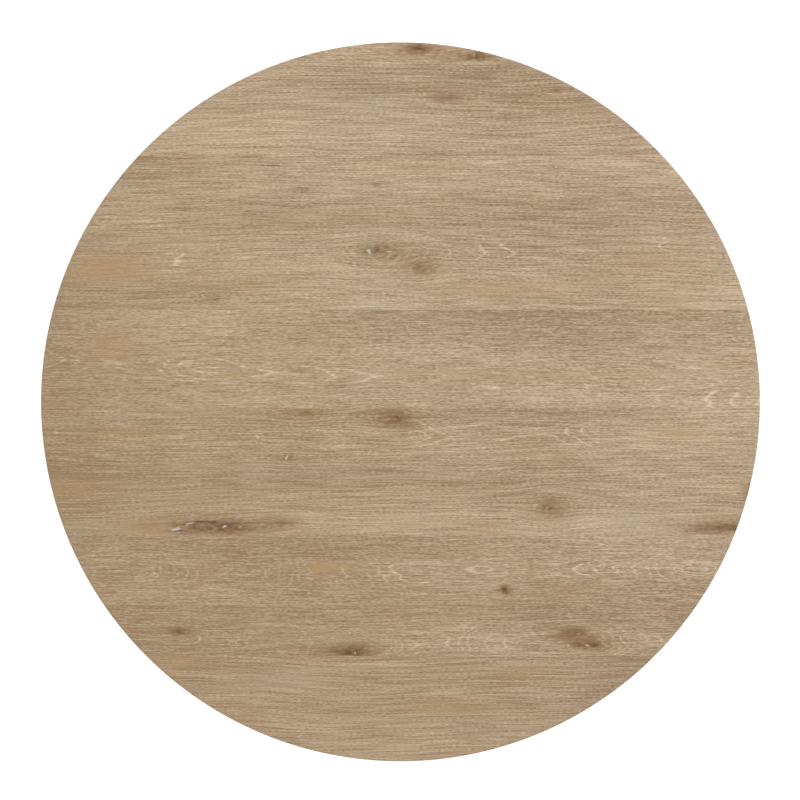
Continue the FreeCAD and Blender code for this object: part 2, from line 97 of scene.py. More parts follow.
class Net:
    """A material's node tree, with short calls for the nodes used here."""

    def __init__(self, name):
        self.material = bpy.data.materials.new(name)
        self.material.use_nodes = True
        self.tree = self.material.node_tree
        self.tree.nodes.clear()
        place = self.tree.nodes.new("ShaderNodeTexCoord").outputs["Object"]
        split = self.tree.nodes.new("ShaderNodeSeparateXYZ")
        self.tree.links.new(place, split.inputs[0])
        self.x, self.y, self.z = [Field(self, socket) for socket in split.outputs]

    def feed(self, value, socket):
        """Link a field to a socket, or set the socket to a number or a colour."""
        if isinstance(value, Field):
            self.tree.links.new(value.socket, socket)
        elif isinstance(value, tuple):
            socket.default_value = (*value, 1.0)[:len(socket.default_value)]
        else:
            socket.default_value = value

    def math(self, operation, *values, clamp=False):
        node = self.tree.nodes.new("ShaderNodeMath")
        node.operation = operation
        node.use_clamp = clamp
        for value, socket in zip(values, node.inputs):
            self.feed(value, socket)
        return Field(self, node.outputs[0])

    def clamped(self, value):
        return self.math("ADD", value, 0.0, clamp=True)

    def noise(self, x, y, z=0.0, detail=2.0, roughness=0.5):
        """Noise about zero, with a spread near one."""
        vector = self.tree.nodes.new("ShaderNodeCombineXYZ")
        for value, socket in zip((x, y, z), vector.inputs):
            self.feed(value, socket)
        node = self.tree.nodes.new("ShaderNodeTexNoise")
        self.tree.links.new(vector.outputs[0], node.inputs["Vector"])
        self.feed(1.0, node.inputs["Scale"])
        self.feed(detail, node.inputs["Detail"])
        self.feed(roughness, node.inputs["Roughness"])
        return (Field(self, node.outputs[0]) - 0.5) * NOISE_GAIN

    def ramp(self, value, start, end, result=(0.0, 1.0)):
        """Smooth step from result[0] at start to result[1] at end."""
        node = self.tree.nodes.new("ShaderNodeMapRange")
        node.interpolation_type = "SMOOTHSTEP"
        for item, socket in zip((value, start, end, *result), node.inputs):
            self.feed(item, socket)
        return Field(self, node.outputs[0])

    def curve(self, value, points):
        """Smooth curve through given points, each (value, result)."""
        node = self.tree.nodes.new("ShaderNodeFloatCurve")
        line = node.mapping.curves[0]
        first, last = points[0][0], points[-1][0]
        line.points[0].location = (0.0, points[0][1])
        line.points[1].location = (1.0, points[-1][1])
        for position, result in points[1:-1]:
            line.points.new((position - first) / (last - first), result)
        node.mapping.update()
        self.feed((value - first) * (1 / (last - first)), node.inputs["Value"])
        return Field(self, node.outputs[0])

    def mix(self, share, colour_a, colour_b):
        """Colour from colour_a at share 0 to colour_b at share 1."""
        node = self.tree.nodes.new("ShaderNodeMix")
        node.data_type = "RGBA"
        first, second = [socket for socket in node.inputs if socket.type == "RGBA"]
        self.feed(share, node.inputs["Factor"])
        self.feed(colour_a, first)
        self.feed(colour_b, second)
        return Field(self, next(socket for socket in node.outputs if socket.type == "RGBA"))

    def surface(self, colour, roughness, height, depth, metallic=0.0):
        """Finish the material with one Principled shader. Depth is the relief's, in metres."""
        shader = self.tree.nodes.new("ShaderNodeBsdfPrincipled")
        output = self.tree.nodes.new("ShaderNodeOutputMaterial")
        bump = self.tree.nodes.new("ShaderNodeBump")
        self.feed(colour, shader.inputs["Base Color"])
        self.feed(roughness, shader.inputs["Roughness"])
        self.feed(metallic, shader.inputs["Metallic"])
        self.feed(depth, bump.inputs["Distance"])
        self.feed(height, bump.inputs["Height"])
        self.tree.links.new(bump.outputs[0], shader.inputs["Normal"])
        self.tree.links.new(shader.outputs[0], output.inputs["Surface"])
        return self.material


def total(fields, start=0.0):
    for field in fields:
        start = field + start
    return start


def spot(net, x, y, at, size, tilt=0.0):
    """Soft ellipse: one at its centre, falling away at its rim. Tilt is in degrees."""
    turn = math.radians(tilt)
    dx = x - at[0]
    dy = y - at[1]
    along = (dx * math.cos(turn) + dy * math.sin(turn)) * (2 / size[0])
    across = (dy * math.cos(turn) - dx * math.sin(turn)) * (2 / size[1])
    return net.math("EXPONENT", (along * along + across * across) * -1.0)


# Oak

DARK_OAK = (0.234, 0.142, 0.070)
PALE_OAK = (0.622, 0.500, 0.344)
GOLDEN_OAK = (0.372, 0.232, 0.108)
GREY_OAK = (0.395, 0.318, 0.215)
KNOT_HALO = (0.235, 0.128, 0.052)
KNOT_BROWN = (0.156, 0.074, 0.023)
KNOT_CORE = (0.050, 0.020, 0.005)
RESIN_GREY = (0.500, 0.440, 0.385)

# The nine leaves of the face, from the far rim to the near one. All places are metres on the top.
#   heart, rise  where the leaf's heart line crosses X = 0, and its slope
#   depths       (X, depth): how far below the face the heart lies along the leaf. Growth rings
#                come up as arches: ">" where the depth grows with X, and "<" where it falls
#   tone         paler (+) or darker (-) than its neighbours
#   figure       how much lime the arches hold
#   knots        place, size, darkness, how far the grain bends round it, and tilt in degrees
#   gold, resin, slits   marks: place, size, strength, and tilt in degrees
Knot = namedtuple("Knot", "at size dark flow tilt", defaults=(0.8, 1.0, 0.0))
Mark = namedtuple("Mark", "at size strength tilt", defaults=(1.0, 0.0))
Leaf = namedtuple("Leaf", "heart rise depths tone figure knots gold resin slits",
                  defaults=((), (), (), ()))
LEAVES = (
    Leaf(
        heart=0.64, rise=0.0, tone=0.0, figure=0.0,
        depths=((-0.62, 0.05), (0.62, 0.05)),
        knots=(Knot((0.03, 0.598), (0.04, 0.014), 0.8), Knot((0.126, 0.586), (0.05, 0.013), 0.8)),
        resin=(Mark((0.124, 0.588), (0.0025, 0.012), 0.8),),
    ),
    Leaf(
        heart=0.495, rise=0.0, tone=-0.02, figure=0.0,
        depths=((-0.62, 0.05), (0.0, 0.035), (0.62, 0.06)),
        knots=(Knot((0.075, 0.515), (0.054, 0.015), 0.48),
               Knot((-0.099, 0.47), (0.044, 0.028), 0.16, 0.4),
               Knot((0.264, 0.528), (0.009, 0.006), 0.6), Knot((0.05, 0.469), (0.012, 0.006), 0.3)),
        slits=(Mark((-0.085, 0.454), (0.06, 0.004), 0.45),
               Mark((0.12, 0.4185), (0.62, 0.003), 0.5)),
    ),
    Leaf(
        heart=0.246, rise=0.03, tone=0.1, figure=1.1,
        depths=((-0.62, 0.04), (-0.36, 0.031), (-0.2, 0.024), (-0.08, 0.01), (0.03, 0.008),
                (0.155, 0.034), (0.4, 0.036), (0.47, 0.03), (0.62, 0.014)),
        knots=(Knot((-0.033, 0.255), (0.066, 0.026), 0.62, 1.5, -4.0),
               Knot((0.038, 0.225), (0.036, 0.022), 0.5, 1.2),
               Knot((-0.167, 0.361), (0.026, 0.006), 0.5, 0.6),
               Knot((-0.04, 0.367), (0.009, 0.005), 0.5, 0.5),
               Knot((0.262, 0.398), (0.024, 0.006), 0.45, 0.5),
               Knot((-0.313, 0.174), (0.018, 0.008), 0.5, 0.6),
               Knot((-0.22, 0.215), (0.008, 0.005), 0.4, 0.4),
               Knot((-0.364, 0.254), (0.008, 0.005), 0.4, 0.4)),
        gold=(Mark((-0.5, 0.225), (0.17, 0.05), 0.8), Mark((0.43, 0.24), (0.12, 0.03), 0.6),
              Mark((0.45, 0.185), (0.1, 0.05), 0.35)),
        resin=(Mark((-0.0535, 0.2545), (0.01, 0.007), 1.0, 20),
               Mark((-0.018, 0.2545), (0.016, 0.0022), 0.8),
               Mark((0.262, 0.3985), (0.006, 0.004), 0.9)),
        slits=(Mark((-0.218, 0.4), (0.056, 0.003), 0.7),),
    ),
    Leaf(
        heart=0.04, rise=-0.055, tone=0.03, figure=1.4,
        depths=((-0.62, 0.026), (-0.43, 0.04), (-0.38, 0.03), (-0.2, 0.0335), (-0.05, 0.0415),
                (0.3, 0.051), (0.42, 0.053), (0.62, 0.042)),
        gold=(Mark((-0.49, 0.09), (0.1, 0.06), 0.6), Mark((-0.28, 0.045), (0.12, 0.012), 0.5),
              Mark((0.2, 0.045), (0.4, 0.016), 0.5), Mark((0.55, 0.06), (0.1, 0.014), 0.4)),
    ),
    Leaf(
        heart=-0.056, rise=0.006, tone=0.0, figure=1.3,
        depths=((-0.62, 0.03), (-0.44, 0.018), (-0.3, 0.017), (-0.18, 0.002), (-0.05, 0.02),
                (0.15, 0.03), (0.27, 0.028), (0.38, 0.008), (0.48, 0.006), (0.62, 0.012)),
        knots=(Knot((-0.009, -0.027), (0.048, 0.024), 0.68, 1.2),
               Knot((-0.162, -0.019), (0.036, 0.012), 0.55, 0.8),
               Knot((-0.192, -0.095), (0.014, 0.008), 0.45, 0.5),
               Knot((-0.16, -0.096), (0.044, 0.004), 0.3, 0.2)),
        gold=(Mark((-0.162, -0.012), (0.05, 0.012), 0.8), Mark((0.474, -0.053), (0.1, 0.014), 0.9),
              Mark((-0.46, -0.052), (0.2, 0.01), 0.5)),
        resin=(Mark((-0.192, -0.094), (0.004, 0.009), 0.9),
               Mark((-0.006, -0.029), (0.01, 0.002), 0.5),
               Mark((0.1, -0.0485), (0.07, 0.003), 0.52),
               Mark((0.205, -0.0515), (0.04, 0.0026), 0.5)),
        slits=(Mark((0.16, -0.053), (0.4, 0.0025), 0.25),),
    ),
    Leaf(
        heart=-0.207, rise=0.0, tone=0.0, figure=0.3,
        depths=((-0.62, 0.035), (-0.4, 0.01), (-0.2, 0.012), (0.1, 0.022), (0.62, 0.012)),
        knots=(Knot((-0.31, -0.212), (0.13, 0.026), 0.75, 1.3, -1.0),
               Knot((-0.2, -0.205), (0.03, 0.009), 0.4, 0.6),
               Knot((0.252, -0.177), (0.05, 0.028), 0.62, 1.3),
               Knot((0.56, -0.213), (0.11, 0.018), 0.75, 1.0, 2.0),
               Knot((0.59, -0.155), (0.016, 0.03), 0.6, 0.5),
               Knot((0.47, -0.155), (0.022, 0.01), 0.25, 0.8),
               Knot((-0.286, -0.139), (0.018, 0.003), 0.5, 0.3)),
        gold=(Mark((-0.43, -0.21), (0.12, 0.03), 0.6), Mark((0.06, -0.207), (0.3, 0.01), 0.4)),
        resin=(Mark((-0.381, -0.216), (0.022, 0.007), 0.75, 8),
               Mark((-0.356, -0.2065), (0.026, 0.0028), 0.75, 8),
               Mark((-0.299, -0.211), (0.009, 0.004), 1.0, 20),
               Mark((-0.27, -0.211), (0.008, 0.003), 0.6)),
        slits=(Mark((-0.36, -0.2065), (0.06, 0.0028), 0.9, 9),
               Mark((-0.37, -0.2195), (0.06, 0.0025), 0.8, -2),
               Mark((-0.315, -0.2055), (0.06, 0.0022), 0.7, -5)),
    ),
    Leaf(
        heart=-0.289, rise=0.01, tone=0.0, figure=1.6,
        depths=((-0.62, 0.03), (-0.447, 0.006), (-0.37, 0.03), (-0.314, 0.04), (-0.297, 0.03),
                (-0.282, 0.01), (-0.153, 0.056), (-0.12, 0.058), (-0.052, 0.042), (0.042, 0.032),
                (0.18, 0.032), (0.22, 0.044), (0.41, 0.024), (0.49, 0.005), (0.62, 0.02)),
        knots=(Knot((0.177, -0.319), (0.013, 0.012), 1.0, 1.2),
               Knot((0.506, -0.277), (0.03, 0.018), 0.18, 1.2)),
        gold=(Mark((-0.125, -0.282), (0.1, 0.022)), Mark((-0.33, -0.29), (0.05, 0.03), 0.4),
              Mark((0.22, -0.285), (0.05, 0.014), 0.4)),
    ),
    Leaf(
        heart=-0.405, rise=-0.03, tone=-0.13, figure=1.6,
        depths=((-0.62, 0.01), (-0.34, 0.01), (-0.24, 0.034), (-0.19, 0.036), (-0.115, 0.052),
                (-0.08, 0.02), (-0.05, 0.022), (0.01, 0.046), (0.08, 0.046), (0.18, 0.012),
                (0.3, 0.006), (0.35, 0.014), (0.44, 0.036), (0.62, 0.04)),
        knots=(Knot((-0.084, -0.423), (0.062, 0.018), 0.85, 1.2),
               Knot((-0.374, -0.39), (0.036, 0.011), 0.7, 0.8),
               Knot((0.29, -0.391), (0.042, 0.015), 0.7),
               Knot((0.318, -0.412), (0.056, 0.016), 0.75)),
        resin=(Mark((0.284, -0.413), (0.006, 0.005), 0.7),
               Mark((0.316, -0.413), (0.01, 0.0035), 0.9),
               Mark((-0.078, -0.425), (0.003, 0.01), 0.7, 20)),
    ),
    Leaf(
        heart=-0.562, rise=0.0, tone=-0.04, figure=0.3,
        depths=((-0.62, 0.06), (-0.1, 0.02), (0.2, 0.012), (0.62, 0.05)),
        gold=(Mark((0.08, -0.52), (0.18, 0.022), 0.6),),
    ),
)

RING_PITCH = 0.0046          # between growth rings
CREST_WIDTH = 0.022          # half the width of the arches along a leaf's heart line

# Layers of brushed oak: cells a metre along the grain and across it, seed, detail and weight
Layer = namedtuple("Layer", "along across seed detail weight")
BROAD = Layer(1.4, 5.0, 0.0, 2.0, 0.112)
BANDS = Layer(1.4, 30.0, 2.3, 2.0, 0.040)
STRANDS = Layer(6.0, 130.0, 4.1, 1.0, 0.006)
STREAKS = Layer(15.0, 740.0, 5.2, 0.0, 0.128)
FIBRE = Layer(160.0, 860.0, 6.7, 0.0, 0.130)
LIME_WEIGHT = 0.42
MIDDLE_TONE = 0.366
LIME_START, LIME_END = 0.3, 2.2


def oak_grain(net, along, across, over, rings, seed, tone, crest=0.0):
    """Tone of brushed and limed oak, its relief, and the lime in its pore lines.

    Rings counts growth rings. Crest is how near a point is to the heart line, where the pore
    lines are widest and hold most lime."""
    def layer(shape):
        return net.noise(along * shape.along, across * shape.across,
                         over * shape.across + (seed + shape.seed), shape.detail)

    broad, bands, strands, streaks, fibre = [
        layer(shape) for shape in (BROAD, BANDS, STRANDS, STREAKS, FIBRE)]
    early_wood = net.ramp(net.math("ABSOLUTE", net.math("FRACT", rings) - 0.5), 0.34, 0.5)
    drift = net.noise(along * 9.0, rings * 0.6, seed + 8.9, 1.0)
    pores = net.noise(along * 60.0, rings * 2.6, seed + 11.3, 1.0)
    limed = early_wood * net.ramp(drift * 0.7 + pores * 0.45 + crest, LIME_START, LIME_END)
    value = (broad * BROAD.weight + bands * BANDS.weight + strands * STRANDS.weight
             + streaks * STREAKS.weight + fibre * FIBRE.weight + limed * LIME_WEIGHT
             + (MIDDLE_TONE + tone))
    relief = streaks * 0.3 + fibre * 0.3 + pores * 0.2 - limed * 0.4
    return value, relief, limed


def oak_colour(net, value, along, across, over, seed):
    """Oak from dark to pale, drifting between golden and grey."""
    base = net.mix(net.clamped(value), DARK_OAK, PALE_OAK)
    hue = net.noise(along * 3.0, across * 17.0, over * 17.0 + (seed + 21.0), 2.0)
    golden = net.mix(net.ramp(hue, 0.3, 2.6, (0.0, 0.6)), base, GOLDEN_OAK)
    return net.mix(net.ramp(hue, -0.3, -2.6, (0.0, 0.6)), golden, GREY_OAK)


def marks(net, x, y, places):
    """Share of the surface that a leaf's marks cover."""
    return total([spot(net, x, y, m.at, m.size, m.tilt) * m.strength for m in places])


def knotted(net, knots, rough_x, rough_y):
    """Lists with one field for each knot: its core, its dark halo, how far it pushes the grain
    aside, and how it bends the growth rings up."""
    cores, halos, pushes, swells = [], [], [], []
    for knot in knots:
        length, width = knot.size
        core = (length * 1.3, width * 1.35)
        halo = (length * 2.1 + 0.006, width * 1.9 + 0.003)
        reach = (length * 2.0 + 0.012, width * 2.4 + 0.006)
        cores.append(spot(net, rough_x, rough_y, knot.at, core, knot.tilt) * knot.dark)
        halos.append(spot(net, rough_x, rough_y, knot.at, halo, knot.tilt) * knot.dark)
        round_knot = spot(net, net.x, net.y, knot.at, reach, knot.tilt)
        pushes.append((net.y - knot.at[1]) * round_knot * (-0.42 * min(knot.flow, 1.3)))
        swells.append(round_knot * (-2.2 * knot.flow))
    return cores, halos, pushes, swells


def leaf_material(number, leaf):
    """One sawn leaf of the face, with its own heart line, knots, cracks and resin."""
    net = Net(f"face_leaf_{number}")
    seed = number * 5.7
    x, y = net.x, net.y
    rough_x = x + net.noise(x * 60.0, y * 130.0, seed + 1.7, 2.0) * 0.0020
    rough_y = y + net.noise(x * 50.0, y * 110.0, seed + 3.9, 2.0) * 0.0009
    cores, halos, pushes, swells = knotted(net, leaf.knots, rough_x, rough_y)

    wander = net.noise(x * 1.4, y * 2.4, seed + 7.1, 2.0)
    ripple = net.noise(x * 9.0, y * 14.0, seed + 9.2, 2.0)
    across = total(pushes, y + wander * 0.006 + ripple * 0.0008)
    # The brushed rows end raggedly, so an arch has a jagged tip
    jagged = x + net.noise(x * 20.0, y * 420.0, seed + 3.3, 1.0) * 0.0020
    depth = net.curve(jagged, leaf.depths) + net.noise(jagged * 9.0, 0.0, seed, 2.0) * 0.0016
    off = across - (x * leaf.rise + leaf.heart)
    reach = net.math("SQRT", off * off + depth * depth)
    uneven = net.noise(x * 4.0, y * 55.0, seed + 5.0, 2.0)
    rings = total(swells, reach * (1 / RING_PITCH) + uneven * 0.34)
    crest = net.math("EXPONENT", off * off * (-1 / CREST_WIDTH ** 2)) * leaf.figure

    value, relief, limed = oak_grain(net, x, across, 0.0, rings, seed, leaf.tone * 0.7, crest)
    # Painted shade: the face grows darker and more golden towards the left and the near side, and
    # darker again near the left rim, as if the light fell from the far right
    painted_shade_side = net.ramp(x * 0.8 + y * 0.45, 0.30, -0.62)
    value = value - painted_shade_side * 0.12 - net.ramp(x, -0.34, -0.60) * 0.13
    # The golden share holds the leaf's real golden marks and, on top of them, the warmer tint of
    # the painted shade
    gold = marks(net, rough_x, rough_y, leaf.gold) * 0.75 + painted_shade_side * 0.22
    oak = oak_colour(net, value, x, y, 0.0, seed)
    colour = net.mix(gold * (1.0 - limed * 0.9), oak, GOLDEN_OAK)
    height = relief
    if leaf.knots:
        flecks = net.noise(x * 90.0, across * 330.0, seed + 2.0, 2.0)
        shade = total(cores) * (1.0 + flecks * 0.16)
        halo = total(halos) * (1.0 + flecks * 0.25)
        core = net.ramp(shade + flecks * 0.06, 0.62, 0.98)
        colour = net.mix(net.ramp(halo, 0.06, 1.0) * 0.80, colour, KNOT_HALO)
        colour = net.mix(net.ramp(shade, 0.12, 0.95) * 0.85, colour, KNOT_BROWN)
        colour = net.mix(core * 0.5, colour, KNOT_CORE)
        height = height - net.ramp(shade, 0.5, 1.0) * 0.8
    if leaf.slits:
        slits = marks(net, rough_x, rough_y, leaf.slits)
        colour = net.mix(net.ramp(slits, 0.15, 0.9) * 0.75, colour, KNOT_CORE)
        height = height - slits
    if leaf.resin:
        filled = net.ramp(marks(net, rough_x, rough_y, leaf.resin), 0.35, 0.65)
        colour = net.mix(filled * 0.9, colour, RESIN_GREY)
    roughness = net.ramp(relief, -2.0, 2.0, (0.52, 0.66))
    return net.surface(colour, roughness, height, OAK_RELIEF)


def paint(node, material):
    obj = nodes[node]
    obj.data.materials.clear()
    obj.data.materials.append(material)


for number, leaf in enumerate(LEAVES, start=1):
    paint(f"face_leaf_{number}", leaf_material(number, leaf))


# Solid oak: staves, feet, bearers and lipping

def board(name, degrees, seed, heart, upright=False, tone=-0.03):
    """Limed oak sawn as one board, whose length is turned from +X by so many degrees, or upright.

    Heart is where the middle of the log runs, in metres: sideways from the table's axis, and up
    from the floor. For an upright board the second is outward from the axis instead."""
    net = Net(name)
    turn = math.radians(degrees)
    out = net.x * math.cos(turn) + net.y * math.sin(turn)
    side = net.y * math.cos(turn) - net.x * math.sin(turn)
    along, across, over = (net.z, side, out) if upright else (out, side, net.z)
    bend = net.noise(along * 2.2, across * 3.0, over * 3.0 + seed, 2.0)
    ripple = net.noise(along * 12.0, across * 16.0, over * 16.0 + (seed + 2.0), 2.0)
    beside = across - heart[0] + bend * 0.006 + ripple * 0.0008
    below = over - heart[1] + along * 0.035 + bend * 0.004
    reach = net.math("SQRT", beside * beside + below * below)
    uneven = net.noise(along * 4.0, across * 50.0, over * 50.0 + seed, 2.0)
    rings = reach * (1 / RING_PITCH) + uneven * 0.30
    value, relief, _ = oak_grain(net, along, across, over, rings, seed, tone)
    colour = oak_colour(net, value, along, across, over, seed)
    roughness = net.ramp(relief, -2.0, 2.0, (0.50, 0.64))
    return net.surface(colour, roughness, relief, OAK_RELIEF)


STAVE_COUNT = 8
FOOT_COUNT = 4

# Sines and remainders only keep neighbouring boards from being cut alike
for index in range(STAVE_COUNT):
    turn = index * 360 / STAVE_COUNT
    stave_heart = (math.sin(index * 2.4) * 0.018, -0.055 - 0.012 * (index % 3))
    stave_tone = 0.03 * math.sin(index * 1.9 + 0.5) - 0.03
    paint(f"column_stave_{index + 1}",
          board(f"stave_oak_{index + 1}", turn, 60 + index * 3.7, stave_heart, True, stave_tone))
    lipping_heart = (-TOP_RADIUS + 0.06, TOP_HEIGHT - 0.04)
    lipping_tone = 0.03 * math.sin(index * 2.7) - 0.05
    paint(f"edge_lipping_{index + 1}",
          board(f"lipping_oak_{index + 1}", turn + 90, 95 + index * 4.3, lipping_heart,
                tone=lipping_tone))
for index in range(FOOT_COUNT):
    foot_heart = (0.012 - 0.008 * index, -0.075)
    foot_tone = 0.025 * math.sin(index * 2.1 + 1.0) - 0.03
    paint(f"foot_{index + 1}",
          board(f"foot_oak_{index + 1}", index * 90, 140 + index * 5.1, foot_heart,
                tone=foot_tone))
paint("bearer_lower", board("bearer_lower_oak", 0, 171.0, (0.010, TOP_HEIGHT - 0.16)))
paint("bearer_upper", board("bearer_upper_oak", 90, 178.0, (-0.014, TOP_HEIGHT - 0.17)))


# Sheet materials, hidden hardwood, metal and nylon

def backing_veneer():
    """Plain sliced oak under the top: straight grain, sealed and not limed."""
    net = Net("backing_oak")
    dark, pale, pore = (0.250, 0.165, 0.090), (0.450, 0.330, 0.205), (0.150, 0.092, 0.048)
    bands = net.noise(net.x * 1.2, net.y * 40.0, 3.0, 3.0)
    strands = net.noise(net.x * 6.0, net.y * 260.0, 5.0, 2.0)
    pores = net.ramp(net.noise(net.x * 45.0, net.y * 620.0, 8.0, 1.0), 0.6, 2.2)
    leaf_width = 0.19
    leaf_tone = net.noise(net.math("SNAP", net.y, leaf_width) * 31.0, 4.0, 0.0, 0.0)
    tone = net.clamped(bands * 0.10 + strands * 0.09 + leaf_tone * 0.07 + 0.5)
    colour = net.mix(pores * 0.5, net.mix(tone, dark, pale), pore)
    roughness = net.ramp(strands, -2.0, 2.0, (0.48, 0.60))
    return net.surface(colour, roughness, strands * 0.4 - pores, 0.0001)


def fibreboard():
    """Dense pressed fibres with a scatter of darker specks."""
    net = Net("fibreboard")
    dark, pale, speck = (0.235, 0.150, 0.080), (0.400, 0.285, 0.175), (0.110, 0.062, 0.032)
    cloud = net.noise(net.x * 30.0, net.y * 30.0, net.z * 60.0, 3.0)
    fibres = net.noise(net.x * 700.0, net.y * 700.0, net.z * 1500.0, 2.0, 0.7)
    specks = net.ramp(net.noise(net.x * 420.0, net.y * 420.0, net.z * 420.0, 0.0), 1.7, 2.6)
    tone = net.clamped(cloud * 0.10 + fibres * 0.16 + 0.5)
    colour = net.mix(specks * 0.6, net.mix(tone, dark, pale), speck)
    return net.surface(colour, 0.82, fibres, 0.00012)


def hardwood(name, upright=True):
    """Plain beech with its short brown flecks, for what is hidden in the joints."""
    net = Net(name)
    dark, pale, fleck = (0.42, 0.27, 0.155), (0.60, 0.43, 0.275), (0.26, 0.14, 0.075)
    along, across = (net.z, net.x + net.y) if upright else (net.x + net.y, net.z)
    bands = net.noise(along * 3.0, across * 60.0, 2.0, 2.0)
    flecks = net.ramp(net.noise(along * 180.0, across * 900.0, 6.0, 0.0), 0.9, 2.2)
    tone = net.clamped(bands * 0.14 + 0.5)
    colour = net.mix(flecks * 0.5, net.mix(tone, dark, pale), fleck)
    return net.surface(colour, net.ramp(bands, -2.0, 2.0, (0.50, 0.62)), bands - flecks, 0.0001)


def metal(name, colour, tint, roughness):
    """Plated or machined metal: fine tool lines, a cloudy film and a few duller spots."""
    net = Net(name)
    film = net.noise(net.x * 70.0, net.y * 70.0, net.z * 70.0, 3.0)
    lines = net.noise(net.x * 260.0, net.y * 260.0, net.z * 3800.0, 1.0)
    shade = net.mix(net.ramp(film, -1.8, 1.8), colour, tint)
    gloss = net.ramp(film + lines * 0.4, -2.2, 2.2, (roughness - 0.08, roughness + 0.12))
    return net.surface(shade, gloss, lines, 0.00003, metallic=1.0)


def powder_coat():
    """Black powder coat with its fine orange peel."""
    net = Net("black_steel")
    peel = net.noise(net.x * 900.0, net.y * 900.0, net.z * 900.0, 1.0)
    dust = net.noise(net.x * 60.0, net.y * 60.0, net.z * 60.0, 3.0)
    colour = net.mix(net.ramp(dust, -1.5, 2.5), (0.018, 0.018, 0.019), (0.038, 0.037, 0.036))
    return net.surface(colour, net.ramp(dust, -2.0, 2.0, (0.42, 0.56)), peel, 0.00008)


def moulded_nylon():
    """Black nylon with a spark-eroded surface, greyer where it has rubbed on the floor."""
    net = Net("black_nylon")
    grain = net.noise(net.x * 1300.0, net.y * 1300.0, net.z * 1300.0, 2.0, 0.6)
    rubbed = net.ramp(net.z + grain * 0.0003, 0.0014, 0.0)
    colour = net.mix(rubbed * 0.6, (0.020, 0.020, 0.022), (0.085, 0.083, 0.080))
    return net.surface(colour, net.ramp(grain, -2.0, 2.0, (0.50, 0.66)), grain, 0.00006)


ZINC = metal("zinc_steel", (0.56, 0.57, 0.59), (0.68, 0.68, 0.66), 0.34)
BLACK_STEEL = powder_coat()
LOOKS = {
    "zinc_steel": ZINC,
    "black_steel": BLACK_STEEL,
    "insert_brass": metal("insert_brass", (0.66, 0.47, 0.20), (0.76, 0.58, 0.29), 0.30),
    "black_nylon": moulded_nylon(),
    "fibreboard": fibreboard(),
    "backing_oak": backing_veneer(),
}
for entry in frame["record"]["subparts"]:
    if entry["material_slot"] in LOOKS:
        paint(entry["node"], LOOKS[entry["material_slot"]])
for node in ("column_plug_top", "column_plug_bottom", "column_dowels"):
    paint(node, hardwood(node))
paint("foot_dowels", hardwood("foot_dowels", upright=False))


# Hardware with real threads, chamfers and sockets, in place of the plain CAD solids

SEGMENTS = 48
THREAD_SEGMENTS = 36
THREAD_STEPS = 6             # rings in each turn of a thread
THREAD_DEPTH = 0.54          # as a share of the pitch
THREAD_RUNOUT = 0.0012
HEX_CHAMFER = math.radians(30)
CRISP_ANGLE = math.radians(32)

M8_RADIUS, M8_PITCH, M8_FLATS = 0.004, 0.00125, 0.013
M12_RADIUS, M12_PITCH, M12_FLATS = 0.006, 0.00175, 0.018


def hexagon(flats):
    """Radius of a hexagon at an angle, with a flat facing +X."""
    third = math.pi / 3

    def radius(angle):
        return flats / 2 / math.cos((angle + third / 2) % third - third / 2)
    return radius


def at_angle(value, angle):
    return value(angle) if callable(value) else value


def smooth_shallow(piece):
    """Smooth shading, with crisp edges where the surface turns sharply."""
    bpy.ops.object.select_all(action="DESELECT")
    piece.select_set(True)
    bpy.context.view_layer.objects.active = piece
    bpy.ops.object.shade_smooth_by_angle(angle=CRISP_ANGLE)


def turned(name, rings, place, material, segments=THREAD_SEGMENTS):
    """Closed piece from rings of (radius, height) round an upright line at place. A radius or a
    height may depend on the angle."""
    vertices = []
    for radius, height in rings:
        for step in range(segments):
            angle = 2 * math.pi * step / segments
            r = at_angle(radius, angle)
            vertices.append((place[0] + r * math.cos(angle), place[1] + r * math.sin(angle),
                             at_angle(height, angle)))
    faces = []
    for ring in range(len(rings) - 1):
        for step in range(segments):
            after = (step + 1) % segments
            low, up = ring * segments, (ring + 1) * segments
            faces.append((low + step, low + after, up + after, up + step))
    first = tuple(range(segments))
    last = tuple((len(rings) - 1) * segments + step for step in range(segments))
    faces += [first[::-1], last]
    mesh = bpy.data.meshes.new(name)
    mesh.from_pydata(vertices, [], faces)
    mesh.validate()
    mesh.materials.append(material)
    piece = bpy.data.objects.new(name, mesh)
    bpy.context.scene.collection.objects.link(piece)
    smooth_shallow(piece)
    return piece


def bored_piece(name, rings, place, material):
    """A turned piece whose last ring joins its first, so that a hole runs through it."""
    piece = turned(name, rings, place, material, SEGMENTS)
    mesh = piece.data
    bridge = bmesh.new()
    bridge.from_mesh(mesh)
    caps = [face for face in bridge.faces if len(face.verts) == SEGMENTS]
    bmesh.ops.delete(bridge, geom=caps, context="FACES_ONLY")
    bridge.verts.ensure_lookup_table()
    last = (len(rings) - 1) * SEGMENTS
    for step in range(SEGMENTS):
        after = (step + 1) % SEGMENTS
        corners = (last + step, last + after, after, step)
        bridge.faces.new([bridge.verts[corner] for corner in corners]).smooth = True
    bmesh.ops.recalc_face_normals(bridge, faces=bridge.faces)
    bridge.to_mesh(mesh)
    bridge.free()
    smooth_shallow(piece)
    return piece


def bored(rings, bore, bevel=0.0006):
    """Outer rings joined through a round bore, with a countersink at each mouth."""
    low_end, high_end = rings[0][1], rings[-1][1]
    return ([(bore, low_end + bevel), (bore + bevel, low_end)] + rings
            + [(bore + bevel, high_end), (bore, high_end - bevel)])


def chamfered_hex(flats, bottom, top, chamfer_top=True):
    """Rings of a hexagon whose corners are turned off, from its lower face to its upper."""
    corner = hexagon(flats)
    inner = flats * 0.475
    fall = math.tan(HEX_CHAMFER)

    def low_edge(angle):
        return bottom + (corner(angle) - inner) * fall

    def high_edge(angle):
        return top - (corner(angle) - inner) * fall
    upper = [(corner, high_edge), (inner, top)] if chamfer_top else [(corner, top)]
    return [(inner, bottom), (corner, low_edge)] + upper


